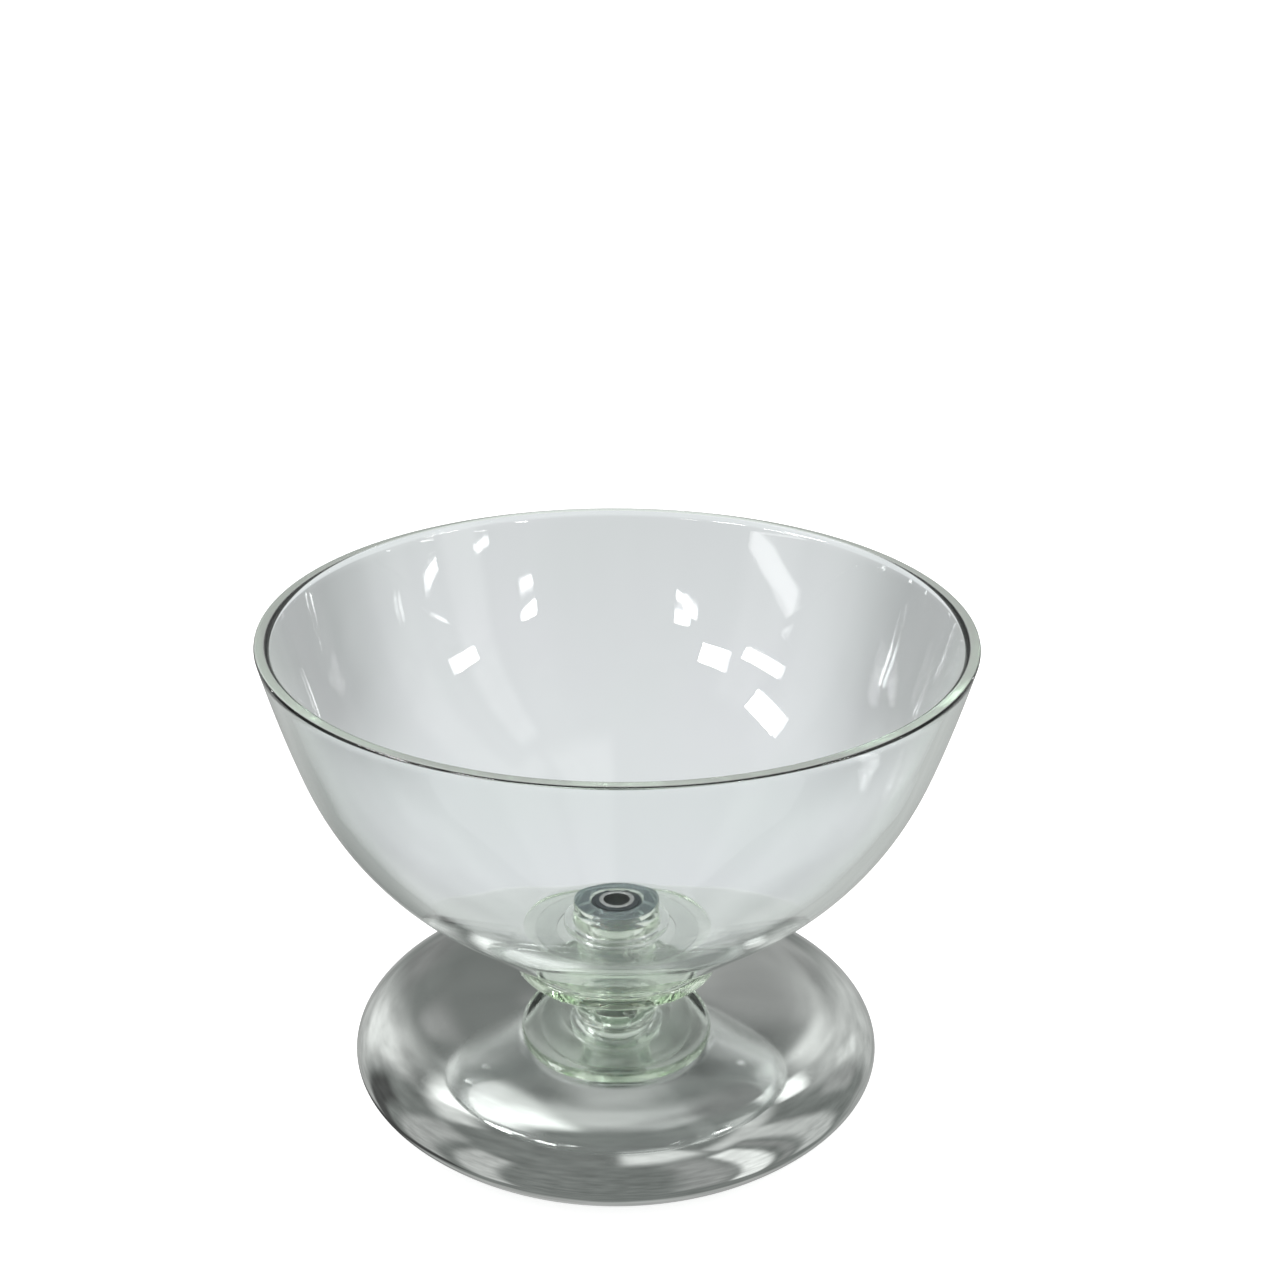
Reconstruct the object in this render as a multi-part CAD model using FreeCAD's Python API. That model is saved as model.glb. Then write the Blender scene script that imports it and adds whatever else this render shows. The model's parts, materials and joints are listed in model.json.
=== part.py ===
import FreeCAD, Part
import math
import os

# A clear acrylic display bowl that turns on a chrome-plated pedestal.
# Millimetres, +Z up. The origin is on the turning axis, at the surface the base stands on.

# ---------------------------------------------------------------- driving dimensions
RIM_RADIUS = 152.4            # a 12 inch bowl
RIM_Z = 222.0
BOWL_WALL = 6.0
BOWL_BOTTOM_Z = 66.0
BOWL_HOLE_RADIUS = 20.2       # drops over the hub
BOWL_FOOT_RADIUS = 42.0       # flat underside
BOWL_FOOT_FILLET = 10.0       # outer radius where the foot turns up into the cone
CONE_SLOPE = 40.0             # degrees above level
CONE_END_RADIUS = 92.0
BELLY_RADIUS = 150.0          # arc that turns the cone up into the wall
BELLY_END_SLOPE = 71.0        # from here one flat arc runs on to the rim
RIM_INNER_ROUND = 3.4
RIM_OUTER_ROUND = 1.2

HUB_RADIUS = 19.5
HUB_TOP_Z = 87.0
CAP_BOTTOM_Z = 80.5
SLEEVE_BOTTOM_Z = 45.6
FLANGE_RADIUS = 46.0
FLANGE_BOTTOM_Z = 59.0
FLANGE_TOP_Z = 65.0
FLANGE_ROUND = 1.5
BOND_GAP = 0.05               # glue line between bonded clear pieces
NECK_RING_RADIUS = 24.5
NECK_RING_HEIGHT = 4.0
NECK_RING_ROUND = 1.0
GASKET_INNER_RADIUS = 28.0
GASKET_OUTER_RADIUS = 38.0

TUBE_RADIUS = 8.0
TUBE_BORE_RADIUS = 6.0
TUBE_BOTTOM_Z = 3.2
TUBE_TOP_Z = 86.8
BUSH_OUTER_RADIUS = 11.0
BUSH_CLEARANCE = 0.05         # running fit on the tube
LOOSE_CLEARANCE = 0.3         # where the hub passes the tube without touching
TUBE_MOUTH_CHAMFER = 0.3

BASE_RADIUS = 119.0
BASE_WIDEST_Z = 18.6
CROWN_Z = 44.5
CROWN_LAND_RADIUS = 20.0      # flat land the hub stands over
SHELL_WALL = 1.5
SHELL_BOTTOM_Z = 1.0
SHELL_FOOT_RADIUS = 101.0
SHELL_LIP_RADIUS = 93.0       # inner edge of the lip rolled in under the weight
CROWN_HOLE_RADIUS = 8.2

WEIGHT_RADIUS = 96.5
WEIGHT_HEIGHT = 11.0
WEIGHT_ROUND = 2.0
NUT_POCKET_RADIUS = 16.0
NUT_POCKET_DEPTH = 6.5
PLATE_CLEARANCE = 0.4
PLATE_SCREW_COUNT = 4
PLATE_SCREW_CIRCLE_RADIUS = 60.0
PLATE_SCREW_RADIUS = 2.0
PLATE_SCREW_HEAD_HEIGHT = 2.0
PLATE_SCREW_LENGTH = 9.0
CROSS_SLOT_WIDTH = 0.8
CROSS_SLOT_LENGTH = 4.0
CROSS_SLOT_DEPTH = 1.0
FOOT_RING_INNER_RADIUS = 86.0
FOOT_RING_OUTER_RADIUS = 98.0

AXIS = FreeCAD.Vector(0, 0, 1)
ORIGIN = FreeCAD.Vector(0, 0, 0)


# ---------------------------------------------------------------- helpers
def save(name, shape):
    """Writes one node as a STEP file."""
    shape = shape.removeSplitter()
    print(name, "valid" if shape.isValid() else "NOT VALID", "volume", round(shape.Volume, 1))
    shape.exportStep("parts/" + name + ".step")


def point(radius, z):
    """A point of a half section, in the XZ plane."""
    return FreeCAD.Vector(radius, 0, z)


def line(start, end):
    return Part.LineSegment(point(*start), point(*end)).toShape()


def arc(start, middle, end):
    return Part.Arc(point(*start), point(*middle), point(*end)).toShape()


def revolve(edges):
    """A solid of revolution from the edges of a closed half section."""
    face = Part.Face(Part.Wire(edges))
    return face.revolve(ORIGIN, AXIS, 360)


def ring(inner, outer, bottom, top):
    """A plain ring or tube; inner 0 makes a disc."""
    solid = Part.makeCylinder(outer, top - bottom, FreeCAD.Vector(0, 0, bottom))
    if inner > 0:
        solid = solid.cut(Part.makeCylinder(inner, top - bottom, FreeCAD.Vector(0, 0, bottom)))
    return solid


def round_edges(solid, radius, wanted):
    """Fillets the full-circle edges whose (radius, z) is in wanted."""
    edges = []
    for edge in solid.Edges:
        if not isinstance(edge.Curve, Part.Circle):
            continue
        for edge_radius, edge_z in wanted:
            centre = edge.Curve.Center
            if abs(edge.Curve.Radius - edge_radius) < 0.02 and abs(centre.z - edge_z) < 0.02:
                edges.append(edge)
    return solid.makeFillet(radius, edges)


def turned(slope, distance):
    """The step from an arc's end to its centre, square to a line that rises at slope degrees."""
    angle = math.radians(slope)
    return -distance * math.sin(angle), distance * math.cos(angle)


def on_circle(centre, radius, slope):
    """The point of a circle, low and outward of its centre, where the circle rises at slope degrees."""
    dr, dz = turned(slope, radius)
    return centre[0] - dr, centre[1] - dz


def tangent_arc_radius(start, slope, end):
    """Radius of the arc that leaves start rising at slope degrees and passes through end."""
    dr, dz = end[0] - start[0], end[1] - start[1]
    inward = turned(slope, 1.0)
    return (dr * dr + dz * dz) / (2 * (dr * inward[0] + dz * inward[1]))


# ---------------------------------------------------------------- bowl
def bowl_wall_edges(inset):
    """The bowl's side, from the flat foot to the rim's plane, moved inwards square to itself."""
    foot_centre = (BOWL_FOOT_RADIUS, BOWL_BOTTOM_Z + BOWL_FOOT_FILLET)
    cone_start = on_circle(foot_centre, BOWL_FOOT_FILLET, CONE_SLOPE)
    cone_rise = (CONE_END_RADIUS - cone_start[0]) * math.tan(math.radians(CONE_SLOPE))
    cone_end = (CONE_END_RADIUS, cone_start[1] + cone_rise)
    step = turned(CONE_SLOPE, BELLY_RADIUS)
    belly_centre = (cone_end[0] + step[0], cone_end[1] + step[1])
    belly_end = on_circle(belly_centre, BELLY_RADIUS, BELLY_END_SLOPE)
    upper_radius = tangent_arc_radius(belly_end, BELLY_END_SLOPE, (RIM_RADIUS, RIM_Z))
    step = turned(BELLY_END_SLOPE, upper_radius)
    upper_centre = (belly_end[0] + step[0], belly_end[1] + step[1])
    rim_slope = math.degrees(math.acos((upper_centre[1] - RIM_Z) / (upper_radius - inset)))
    arcs = [
        (foot_centre, BOWL_FOOT_FILLET - inset, 0.0, CONE_SLOPE),
        (belly_centre, BELLY_RADIUS - inset, CONE_SLOPE, BELLY_END_SLOPE),
        (upper_centre, upper_radius - inset, BELLY_END_SLOPE, rim_slope),
    ]
    edges = []
    previous = None
    for centre, radius, slope_from, slope_to in arcs:
        start = on_circle(centre, radius, slope_from)
        middle = on_circle(centre, radius, (slope_from + slope_to) / 2)
        end = on_circle(centre, radius, slope_to)
        if previous and math.dist(previous, start) > 0.01:
            edges.append(line(previous, start))
        edges.append(arc(start, middle, end))
        previous = end
    foot = (BOWL_FOOT_RADIUS, BOWL_BOTTOM_Z + inset)
    return edges, foot, previous


def make_bowl():
    outer, outer_foot, outer_end = bowl_wall_edges(0.0)
    inner, inner_foot, inner_end = bowl_wall_edges(BOWL_WALL)
    hole_bottom = (BOWL_HOLE_RADIUS, outer_foot[1])
    hole_top = (BOWL_HOLE_RADIUS, inner_foot[1])
    edges = [line(hole_bottom, outer_foot)] + outer + [line(outer_end, inner_end)]
    edges += inner + [line(inner_foot, hole_top), line(hole_top, hole_bottom)]
    solid = revolve(Part.__sortEdges__(edges))
    solid = round_edges(solid, RIM_INNER_ROUND, [inner_end])
    return round_edges(solid, RIM_OUTER_ROUND, [outer_end])


def make_neck_ring():
    bottom = BOWL_BOTTOM_Z + BOWL_WALL
    top = bottom + NECK_RING_HEIGHT
    solid = ring(BOWL_HOLE_RADIUS, NECK_RING_RADIUS, bottom, top)
    return round_edges(solid, NECK_RING_ROUND, [(NECK_RING_RADIUS, top)])


# ---------------------------------------------------------------- hub
LOWER_BUSH = (48.0, 56.0)
UPPER_BUSH = (78.5, 84.5)
SHOULDER_RING_RADIUS = 11.5
SHOULDER_TOP_Z = 47.5
SHOULDER_CLEARANCE = 0.5
CAP_RECESS_RADIUS = 12.3
HUB_EDGE_ROUND = 0.5
GRUB_Z = 52.5
GRUB_AZIMUTH = 23.0           # degrees round from the front, towards +X
GRUB_RADIUS = 2.0
GRUB_TIP = 11.3
GRUB_HEAD = 19.0
GRUB_SOCKET_RADIUS = 1.0
GRUB_SOCKET_DEPTH = 2.0


def radial_rod(radius, start, end, z, azimuth):
    """A round rod that points out from the axis; azimuth 0 is the front, -Y."""
    angle = math.radians(azimuth)
    direction = FreeCAD.Vector(math.sin(angle), -math.cos(angle), 0)
    return Part.makeCylinder(radius, end - start, direction * start + FreeCAD.Vector(0, 0, z), direction)


def make_hub_sleeve():
    solid = ring(TUBE_RADIUS + LOOSE_CLEARANCE, HUB_RADIUS, SLEEVE_BOTTOM_Z, CAP_BOTTOM_Z)
    pocket_radius = SHOULDER_RING_RADIUS + SHOULDER_CLEARANCE
    solid = solid.cut(ring(0, pocket_radius, SLEEVE_BOTTOM_Z, LOWER_BUSH[0]))
    solid = solid.cut(ring(0, BUSH_OUTER_RADIUS + BOND_GAP, LOWER_BUSH[0], LOWER_BUSH[1]))
    solid = solid.cut(ring(0, BUSH_OUTER_RADIUS + BOND_GAP, UPPER_BUSH[0], CAP_BOTTOM_Z))
    ends = [(HUB_RADIUS, SLEEVE_BOTTOM_Z), (HUB_RADIUS, CAP_BOTTOM_Z)]
    solid = round_edges(solid, HUB_EDGE_ROUND, ends)
    hole_end = HUB_RADIUS + GRUB_RADIUS
    hole = radial_rod(GRUB_RADIUS + BOND_GAP, BUSH_OUTER_RADIUS, hole_end, GRUB_Z, GRUB_AZIMUTH)
    return solid.cut(hole)


def make_hub_flange():
    solid = ring(HUB_RADIUS + BOND_GAP, FLANGE_RADIUS, FLANGE_BOTTOM_Z, FLANGE_TOP_Z)
    outer_edges = [(FLANGE_RADIUS, FLANGE_BOTTOM_Z), (FLANGE_RADIUS, FLANGE_TOP_Z)]
    return round_edges(solid, FLANGE_ROUND, outer_edges)


def make_hub_cap():
    bottom = CAP_BOTTOM_Z + BOND_GAP
    solid = ring(BUSH_OUTER_RADIUS + BOND_GAP, HUB_RADIUS, bottom, HUB_TOP_Z)
    solid = solid.cut(ring(0, CAP_RECESS_RADIUS, UPPER_BUSH[1], HUB_TOP_Z))
    return round_edges(solid, HUB_EDGE_ROUND, [(HUB_RADIUS, bottom), (HUB_RADIUS, HUB_TOP_Z)])


def make_bush(span):
    return ring(TUBE_RADIUS + BUSH_CLEARANCE, BUSH_OUTER_RADIUS, span[0], span[1])


def make_grub_screw():
    solid = radial_rod(GRUB_RADIUS, GRUB_TIP, GRUB_HEAD, GRUB_Z, GRUB_AZIMUTH)
    socket_start = GRUB_HEAD - GRUB_SOCKET_DEPTH
    return solid.cut(radial_rod(GRUB_SOCKET_RADIUS, socket_start, GRUB_HEAD, GRUB_Z, GRUB_AZIMUTH))


def make_bowl_gasket():
    return ring(GASKET_INNER_RADIUS, GASKET_OUTER_RADIUS, FLANGE_TOP_Z, BOWL_BOTTOM_Z)


# ---------------------------------------------------------------- post
THRUST_WASHER_INNER_RADIUS = 12.1
THRUST_WASHER_OUTER_RADIUS = 19.0
THRUST_WASHER_TOP_Z = 45.5
TOP_WASHER = (84.6, 85.4)
TOP_WASHER_INNER_RADIUS = 8.1
TOP_WASHER_OUTER_RADIUS = 11.6
CLIP = (85.5, 86.3)
CLIP_GROOVE_RADIUS = 7.3
CLIP_OUTER_RADIUS = 10.2
CLIP_OPENING = 5.0
CLIP_LUG_RADIUS = 1.7
CLIP_LUG_CENTRE_RADIUS = 9.6
CLIP_LUG_HOLE_RADIUS = 0.7
NUT_ACROSS_FLATS = 24.0
NUT_BOTTOM_Z = 3.8
LOCK_WASHER_INNER_RADIUS = 8.2
LOCK_WASHER_OUTER_RADIUS = 13.0
LOCK_WASHER_HEIGHT = 1.2


def make_post_tube():
    solid = ring(TUBE_BORE_RADIUS, TUBE_RADIUS, TUBE_BOTTOM_Z, TUBE_TOP_Z)
    groove = ring(CLIP_GROOVE_RADIUS, TUBE_RADIUS + 1, CLIP[0] - BOND_GAP, CLIP[1] + BOND_GAP)
    solid = solid.cut(groove)
    return solid.makeChamfer(TUBE_MOUTH_CHAMFER, [e for e in solid.Edges if is_top_bore_edge(e)])


def is_top_bore_edge(edge):
    if not isinstance(edge.Curve, Part.Circle):
        return False
    at_top = abs(edge.Curve.Center.z - TUBE_TOP_Z) < 0.01
    return at_top and abs(edge.Curve.Radius - TUBE_BORE_RADIUS) < 0.01


def make_retaining_ring():
    """A circlip: a ring with an opening at the back and a drilled lug on each side of it."""
    thickness = CLIP[1] - CLIP[0]
    solid = ring(CLIP_GROOVE_RADIUS + BOND_GAP, CLIP_OUTER_RADIUS, CLIP[0], CLIP[1])
    for side in (-1, 1):
        x = side * (CLIP_OPENING / 2 + CLIP_LUG_RADIUS)
        y = math.sqrt(CLIP_LUG_CENTRE_RADIUS ** 2 - x ** 2)
        lug_foot = FreeCAD.Vector(x, y, CLIP[0])
        solid = solid.fuse(Part.makeCylinder(CLIP_LUG_RADIUS, thickness, lug_foot))
        solid = solid.cut(Part.makeCylinder(CLIP_LUG_HOLE_RADIUS, thickness, lug_foot))
    opening_corner = FreeCAD.Vector(-CLIP_OPENING / 2, 0, CLIP[0])
    return solid.cut(Part.makeBox(CLIP_OPENING, 2 * CLIP_OUTER_RADIUS, thickness, opening_corner))


def make_post_nut():
    top = pocket_top() - LOCK_WASHER_HEIGHT
    corner_radius = NUT_ACROSS_FLATS / math.sqrt(3)
    corners = []
    for k in range(7):
        angle = math.radians(60 * k)
        x = corner_radius * math.cos(angle)
        y = corner_radius * math.sin(angle)
        corners.append(FreeCAD.Vector(x, y, NUT_BOTTOM_Z))
    prism = Part.Face(Part.makePolygon(corners)).extrude(AXIS * (top - NUT_BOTTOM_Z))
    return prism.cut(ring(0, TUBE_RADIUS + BOND_GAP, 0, CROWN_Z))


def pocket_top():
    return SHELL_BOTTOM_Z + SHELL_WALL + NUT_POCKET_DEPTH


# ---------------------------------------------------------------- base
def shell_curve(points, start_tangent, end_tangent):
    curve = Part.BSplineCurve()
    curve.interpolate(
        Points=[point(*p) for p in points],
        InitialTangent=point(*start_tangent),
        FinalTangent=point(*end_tangent),
    )
    return curve


def inset_points(curve, points, inset):
    """The curve's own points moved square to it, towards the inside of the shell."""
    moved = []
    for p in points:
        at = curve.parameter(point(*p))
        tangent = curve.tangent(at)[0]
        moved.append((p[0] - inset * -tangent.z, p[1] - inset * tangent.x))
    return moved


CROWN_POINTS = [
    (CROWN_LAND_RADIUS, CROWN_Z),
    (45.0, 42.2),
    (72.0, 40.3),
    (95.0, 37.4),
    (111.0, 30.8),
    (BASE_RADIUS, BASE_WIDEST_Z),
]
SKIRT_POINTS = [
    (BASE_RADIUS, BASE_WIDEST_Z),
    (115.2, 11.4),
    (108.6, 5.2),
    (SHELL_FOOT_RADIUS, SHELL_BOTTOM_Z),
]
LEVEL = (1.0, 0.0)
DOWN = (0.0, -1.0)
SKIRT_END_TANGENT = (-0.95, -0.31)


def make_base_shell():
    """A spun cover: flat land, soft crown, round shoulder, tucked-in skirt and a lip rolled under."""
    crown = shell_curve(CROWN_POINTS, LEVEL, DOWN)
    skirt = shell_curve(SKIRT_POINTS, DOWN, SKIRT_END_TANGENT)
    crown_inside_points = inset_points(crown, CROWN_POINTS, SHELL_WALL)
    skirt_inside_points = inset_points(skirt, SKIRT_POINTS[:-1], SHELL_WALL)
    lip_top = SHELL_BOTTOM_Z + SHELL_WALL
    skirt_inside_points.append((SHELL_FOOT_RADIUS - SHELL_WALL, lip_top))
    crown_inside = shell_curve(crown_inside_points, LEVEL, DOWN)
    skirt_inside = shell_curve(skirt_inside_points, DOWN, SKIRT_END_TANGENT)
    land_outer = (CROWN_HOLE_RADIUS, CROWN_Z)
    land_inner = (CROWN_HOLE_RADIUS, CROWN_Z - SHELL_WALL)
    lip_outer = (SHELL_LIP_RADIUS, SHELL_BOTTOM_Z)
    lip_inner = (SHELL_LIP_RADIUS, lip_top)
    edges = [
        line(land_outer, CROWN_POINTS[0]),
        crown.toShape(),
        skirt.toShape(),
        line(SKIRT_POINTS[-1], lip_outer),
        line(lip_outer, lip_inner),
        line(lip_inner, skirt_inside_points[-1]),
        skirt_inside.toShape(),
        crown_inside.toShape(),
        line(crown_inside_points[0], land_inner),
        line(land_inner, land_outer),
    ]
    return revolve(Part.__sortEdges__(edges))


def plate_screw_places():
    for k in range(PLATE_SCREW_COUNT):
        angle = math.radians(45 + 360 * k / PLATE_SCREW_COUNT)
        yield PLATE_SCREW_CIRCLE_RADIUS * math.cos(angle), PLATE_SCREW_CIRCLE_RADIUS * math.sin(angle)


def countersunk_screw(x, y, grow):
    """A countersunk screw, or with grow the hole that takes it."""
    foot = FreeCAD.Vector(x, y, SHELL_BOTTOM_Z)
    shank_radius = PLATE_SCREW_RADIUS + grow
    head_radius = 2 * PLATE_SCREW_RADIUS + grow
    head = Part.makeCone(head_radius, shank_radius, PLATE_SCREW_HEAD_HEIGHT, foot)
    return head.fuse(Part.makeCylinder(shank_radius, PLATE_SCREW_LENGTH + grow, foot))


def make_plate_screws():
    along_x = (CROSS_SLOT_LENGTH, CROSS_SLOT_WIDTH)
    along_y = (CROSS_SLOT_WIDTH, CROSS_SLOT_LENGTH)
    screws = []
    for x, y in plate_screw_places():
        screw = countersunk_screw(x, y, 0.0)
        for size_x, size_y in (along_x, along_y):
            corner = FreeCAD.Vector(x - size_x / 2, y - size_y / 2, SHELL_BOTTOM_Z)
            screw = screw.cut(Part.makeBox(size_x, size_y, CROSS_SLOT_DEPTH, corner))
        screws.append(screw)
    return Part.makeCompound(screws)


def cut_screw_holes(solid):
    for x, y in plate_screw_places():
        solid = solid.cut(countersunk_screw(x, y, BOND_GAP))
    return solid


def make_base_weight():
    bottom = SHELL_BOTTOM_Z + SHELL_WALL
    solid = ring(TUBE_RADIUS + BOND_GAP, WEIGHT_RADIUS, bottom, bottom + WEIGHT_HEIGHT)
    solid = solid.cut(ring(0, NUT_POCKET_RADIUS, bottom, pocket_top()))
    solid = round_edges(solid, WEIGHT_ROUND, [(WEIGHT_RADIUS, bottom + WEIGHT_HEIGHT)])
    return cut_screw_holes(solid)


def make_base_plate():
    outer = SHELL_LIP_RADIUS - PLATE_CLEARANCE
    inner = NUT_POCKET_RADIUS + PLATE_CLEARANCE
    solid = ring(inner, outer, SHELL_BOTTOM_Z, SHELL_BOTTOM_Z + SHELL_WALL)
    return cut_screw_holes(solid)


def make_foot_ring():
    return ring(FOOT_RING_INNER_RADIUS, FOOT_RING_OUTER_RADIUS, 0, SHELL_BOTTOM_Z)


def make_spacer_sleeve():
    bottom = SHELL_BOTTOM_Z + SHELL_WALL + WEIGHT_HEIGHT
    return ring(TUBE_RADIUS + BOND_GAP, BUSH_OUTER_RADIUS, bottom, CROWN_Z - SHELL_WALL)


def make_shoulder_ring():
    return ring(TUBE_RADIUS, SHOULDER_RING_RADIUS, CROWN_Z, SHOULDER_TOP_Z)


def make_thrust_washer():
    return ring(THRUST_WASHER_INNER_RADIUS, THRUST_WASHER_OUTER_RADIUS, CROWN_Z, THRUST_WASHER_TOP_Z)


def make_top_washer():
    return ring(TOP_WASHER_INNER_RADIUS, TOP_WASHER_OUTER_RADIUS, TOP_WASHER[0], TOP_WASHER[1])


def make_lock_washer():
    top = pocket_top()
    return ring(LOCK_WASHER_INNER_RADIUS, LOCK_WASHER_OUTER_RADIUS, top - LOCK_WASHER_HEIGHT, top)


# ---------------------------------------------------------------- all nodes
os.makedirs("parts", exist_ok=True)

save("bowl", make_bowl())
save("neck_ring", make_neck_ring())

save("hub_sleeve", make_hub_sleeve())
save("hub_flange", make_hub_flange())
save("hub_cap", make_hub_cap())
save("lower_bush", make_bush(LOWER_BUSH))
save("upper_bush", make_bush(UPPER_BUSH))
save("grub_screw", make_grub_screw())
save("bowl_gasket", make_bowl_gasket())

save("post_tube", make_post_tube())
save("shoulder_ring", make_shoulder_ring())
save("thrust_washer", make_thrust_washer())
save("top_washer", make_top_washer())
save("retaining_ring", make_retaining_ring())
save("spacer_sleeve", make_spacer_sleeve())
save("lock_washer", make_lock_washer())
save("post_nut", make_post_nut())

save("base_shell", make_base_shell())
save("base_weight", make_base_weight())
save("base_plate", make_base_plate())
save("plate_screws", make_plate_screws())
save("foot_ring", make_foot_ring())
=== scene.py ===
import json
import math

import bmesh
import bpy
from mathutils import Matrix, Vector, noise

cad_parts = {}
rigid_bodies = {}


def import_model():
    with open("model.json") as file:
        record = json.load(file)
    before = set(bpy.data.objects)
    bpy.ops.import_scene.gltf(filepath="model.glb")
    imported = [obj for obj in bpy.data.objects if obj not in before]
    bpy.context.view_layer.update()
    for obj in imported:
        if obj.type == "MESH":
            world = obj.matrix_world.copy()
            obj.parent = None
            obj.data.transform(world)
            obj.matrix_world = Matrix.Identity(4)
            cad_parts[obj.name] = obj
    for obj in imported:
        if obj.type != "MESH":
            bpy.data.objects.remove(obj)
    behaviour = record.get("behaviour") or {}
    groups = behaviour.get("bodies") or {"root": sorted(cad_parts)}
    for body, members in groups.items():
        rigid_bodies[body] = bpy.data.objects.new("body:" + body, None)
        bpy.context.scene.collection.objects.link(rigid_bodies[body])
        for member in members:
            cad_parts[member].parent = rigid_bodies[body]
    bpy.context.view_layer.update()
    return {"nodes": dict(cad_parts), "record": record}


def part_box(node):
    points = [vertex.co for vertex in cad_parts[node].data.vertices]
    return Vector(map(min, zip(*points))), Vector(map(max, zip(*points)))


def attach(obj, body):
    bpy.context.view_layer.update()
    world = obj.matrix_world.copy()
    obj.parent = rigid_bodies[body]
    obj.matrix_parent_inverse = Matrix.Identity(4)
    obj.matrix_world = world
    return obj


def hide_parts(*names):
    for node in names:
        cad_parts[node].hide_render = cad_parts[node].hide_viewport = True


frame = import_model()

# A clear acrylic bowl on a clear hub, which turns on a chrome post and a chrome-plated base.
# Metres, +Z up, in the CAD frame. Outlines are half sections of (radius, z) points.

MM = 0.001
SEGMENTS = 288                # divisions round the bowl and the rings
SHARP_DEGREES = 35.0          # an edge that turns more than this is shaded sharp
ROUND_STEPS = 6               # divisions of an edge round
RING_RUN = 6.0 * MM           # a run is the longest stretch of an outline that is not divided


# ---------------------------------------------------------------- mesh helpers
def mesh_object(name, vertices, faces):
    """A smooth-shaded object with its faces turned outwards."""
    mesh = bpy.data.meshes.new(name)
    mesh.from_pydata(vertices, [], faces)
    shape = bmesh.new()
    shape.from_mesh(mesh)
    bmesh.ops.recalc_face_normals(shape, faces=shape.faces)
    shape.to_mesh(mesh)
    shape.free()
    mesh.shade_smooth()
    mesh.set_sharp_from_angle(angle=math.radians(SHARP_DEGREES))
    piece = bpy.data.objects.new(name, mesh)
    bpy.context.scene.collection.objects.link(piece)
    return piece


def lathe(name, outline, segments=SEGMENTS, shift=None):
    """Turns a closed outline round the Z axis. shift(radius, z, angle) may move a point in or out."""
    vertices = []
    count = len(outline)
    for s in range(segments):
        angle = 2 * math.pi * s / segments
        for radius, z in outline:
            if shift:
                radius = shift(radius, z, angle)
            vertices.append((radius * math.cos(angle), radius * math.sin(angle), z))
    faces = []
    for s in range(segments):
        here = s * count
        there = ((s + 1) % segments) * count
        for k in range(count):
            after = (k + 1) % count
            faces.append((here + k, there + k, there + after, here + after))
    return mesh_object(name, vertices, faces)


def rounded_outline(corners, steps=ROUND_STEPS):
    """A closed outline with each (radius, z, round) corner replaced by an arc of that round."""
    outline = []
    count = len(corners)
    for k, (radius, z, size) in enumerate(corners):
        here = Vector((radius, z))
        if size <= 0:
            outline.append((radius, z))
            continue
        back = (Vector(corners[k - 1][:2]) - here).normalized()
        ahead = (Vector(corners[(k + 1) % count][:2]) - here).normalized()
        half = back.angle(ahead) / 2
        reach = size / math.tan(half)
        centre = here + (back + ahead).normalized() * (size / math.sin(half))
        start = here + back * reach - centre
        end = here + ahead * reach - centre
        turn = math.atan2(start.x * end.y - start.y * end.x, start.dot(end))
        for i in range(steps + 1):
            spot = centre + Matrix.Rotation(turn * i / steps, 2) @ start
            outline.append(tuple(spot))
    return outline


def divided(outline, longest):
    """The same closed outline with long straight runs divided."""
    result = []
    count = len(outline)
    for k, start in enumerate(outline):
        end = outline[(k + 1) % count]
        parts = max(1, math.ceil(math.dist(start, end) / longest))
        for i in range(parts):
            t = i / parts
            result.append((start[0] + (end[0] - start[0]) * t, start[1] + (end[1] - start[1]) * t))
    return result


def turned_ring(name, node, inner, edge_round, end_gap=0.0):
    """A ring with softened edges: the CAD node's own radius and height, and the given bore.

    end_gap keeps its two ends that far inside the node's height.
    """
    low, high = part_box(node)
    outline = rounded_outline([
        (inner, low.z + end_gap, edge_round),
        (high.x, low.z + end_gap, edge_round),
        (high.x, high.z - end_gap, edge_round),
        (inner, high.z - end_gap, edge_round),
    ])
    return lathe(name, divided(outline, RING_RUN))


# ---------------------------------------------------------------- bowl
RIM_RADIUS = 152.4 * MM
RIM_Z = 222.0 * MM
BOWL_BOTTOM_Z = 66.0 * MM
BOWL_WALL = 6.0 * MM
BOWL_HOLE_RADIUS = 20.2 * MM
BOWL_HOLE_ROUND = 0.5 * MM
BOWL_FOOT_RADIUS = 42.0 * MM
BOWL_FOOT_FILLET = 10.0 * MM
CONE_SLOPE = math.radians(40.0)
CONE_END_RADIUS = 92.0 * MM
BELLY_RADIUS = 150.0 * MM
BELLY_END_SLOPE = math.radians(71.0)
RIM_INNER_ROUND = 3.4 * MM
RIM_OUTER_ROUND = 1.2 * MM
RIM_CLEARANCE = 1.5           # how far the side's points keep from the rim, in rounds
SAME_SPOT = 0.01 * MM         # points nearer than this count as one
FILLET_STEPS = 8
BELLY_STEPS = 26
UPPER_STEPS = 10
RIM_STEPS = 10
BOWL_RUN = 5.0 * MM
RIPPLE_HEIGHT = 0.10 * MM     # how far the formed sheet strays from a perfect surface
RIPPLE_LENGTH = 42.0 * MM
RIPPLE_RISE = 6.0             # how fast the ripples come in, against the share of the bowl's height
RIPPLE_AT_FOOT = 0.4          # how long they hold back at the foot and at the rim, in the same terms
RIPPLE_AT_RIM = 0.2
FINE_RIPPLE_SHARE = 0.4       # finer ripples on the slow ones
FINE_RIPPLE_SCALE = 2.3
FINE_RIPPLE_SHIFT = Vector((5, 1, 7))


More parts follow.
